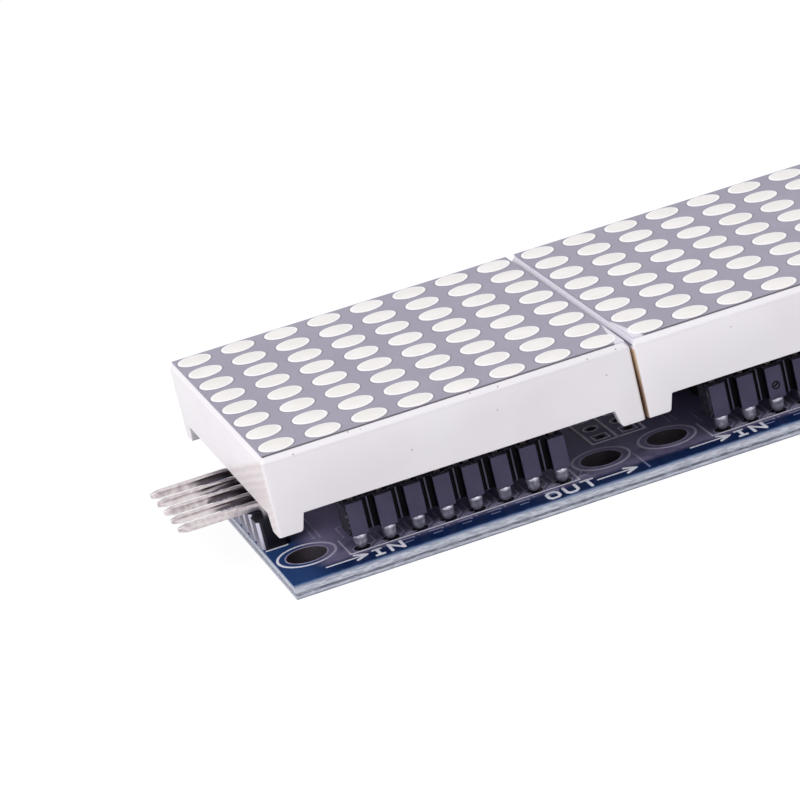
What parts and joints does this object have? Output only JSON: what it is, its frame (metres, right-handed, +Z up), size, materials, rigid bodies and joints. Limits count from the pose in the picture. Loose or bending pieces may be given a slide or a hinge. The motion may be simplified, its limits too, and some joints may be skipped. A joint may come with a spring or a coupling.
{
  "type": "led dot matrix",
  "caption": "Row of square LED dot matrix displays plugged into socket strips on one long driver board, with a right-angled pin header at the input end.",
  "frame": {"origin": "centre of the board's underside, on which the module rests", "axes": "+X along the board from the input header to the output end, +Y to the rear, +Z up to the faces"},
  "size_m": [0.1347, 0.0322, 0.0125],
  "materials": {
    "housing_white": "moulded white plastic, satin",
    "face_print": "grey printed film, matt",
    "dot_resin": "milky casting resin, smooth",
    "led_board": "glass fibre laminate with solder resist",
    "back_resin": "poured casting resin, glossy",
    "pin_tin": "tin plated, bright",
    "socket_plastic": "moulded dark slate plastic, satin",
    "contact_tin": "tin plated bronze, bright",
    "board_blue": "blue solder resist on glass fibre laminate",
    "chip_black": "moulded black epoxy, matt",
    "storage_epoxy": "moulded dark epoxy, satin",
    "chip_ceramic": "sintered ceramic with tinned ends",
    "header_plastic": "moulded black plastic, satin"
  },
  "bodies": {
    "root": {"main_board": "board_blue", "input_header_body": "header_plastic", "input_header_pins": "pin_tin", "display_1_housing": "housing_white", "display_1_face_film": "face_print", "display_1_dots": "dot_resin", "display_1_led_board": "led_board", "display_1_resin": "back_resin", "display_1_pins": "pin_tin", "socket_1_front": "socket_plastic", "socket_1_rear": "socket_plastic", "socket_1_contacts": "contact_tin", "driver_1_body": "chip_black", "driver_1_leads": "pin_tin", "storage_capacitor_1": "storage_epoxy", "bypass_capacitor_1": "chip_ceramic", "set_resistor_1": "chip_ceramic", "display_2_housing": "housing_white", "display_2_face_film": "face_print", "display_2_dots": "dot_resin", "display_2_led_board": "led_board", "display_2_resin": "back_resin", "display_2_pins": "pin_tin", "socket_2_front": "socket_plastic", "socket_2_rear": "socket_plastic", "socket_2_contacts": "contact_tin", "driver_2_body": "chip_black", "driver_2_leads": "pin_tin", "storage_capacitor_2": "storage_epoxy", "bypass_capacitor_2": "chip_ceramic", "set_resistor_2": "chip_ceramic", "display_3_housing": "housing_white", "display_3_face_film": "face_print", "display_3_dots": "dot_resin", "display_3_led_board": "led_board", "display_3_resin": "back_resin", "display_3_pins": "pin_tin", "socket_3_front": "socket_plastic", "socket_3_rear": "socket_plastic", "socket_3_contacts": "contact_tin", "driver_3_body": "chip_black", "driver_3_leads": "pin_tin", "storage_capacitor_3": "storage_epoxy", "bypass_capacitor_3": "chip_ceramic", "set_resistor_3": "chip_ceramic", "display_4_housing": "housing_white", "display_4_face_film": "face_print", "display_4_dots": "dot_resin", "display_4_led_board": "led_board", "display_4_resin": "back_resin", "display_4_pins": "pin_tin", "socket_4_front": "socket_plastic", "socket_4_rear": "socket_plastic", "socket_4_contacts": "contact_tin", "driver_4_body": "chip_black", "driver_4_leads": "pin_tin", "storage_capacitor_4": "storage_epoxy", "bypass_capacitor_4": "chip_ceramic", "set_resistor_4": "chip_ceramic"}
  },
  "joints": []
}
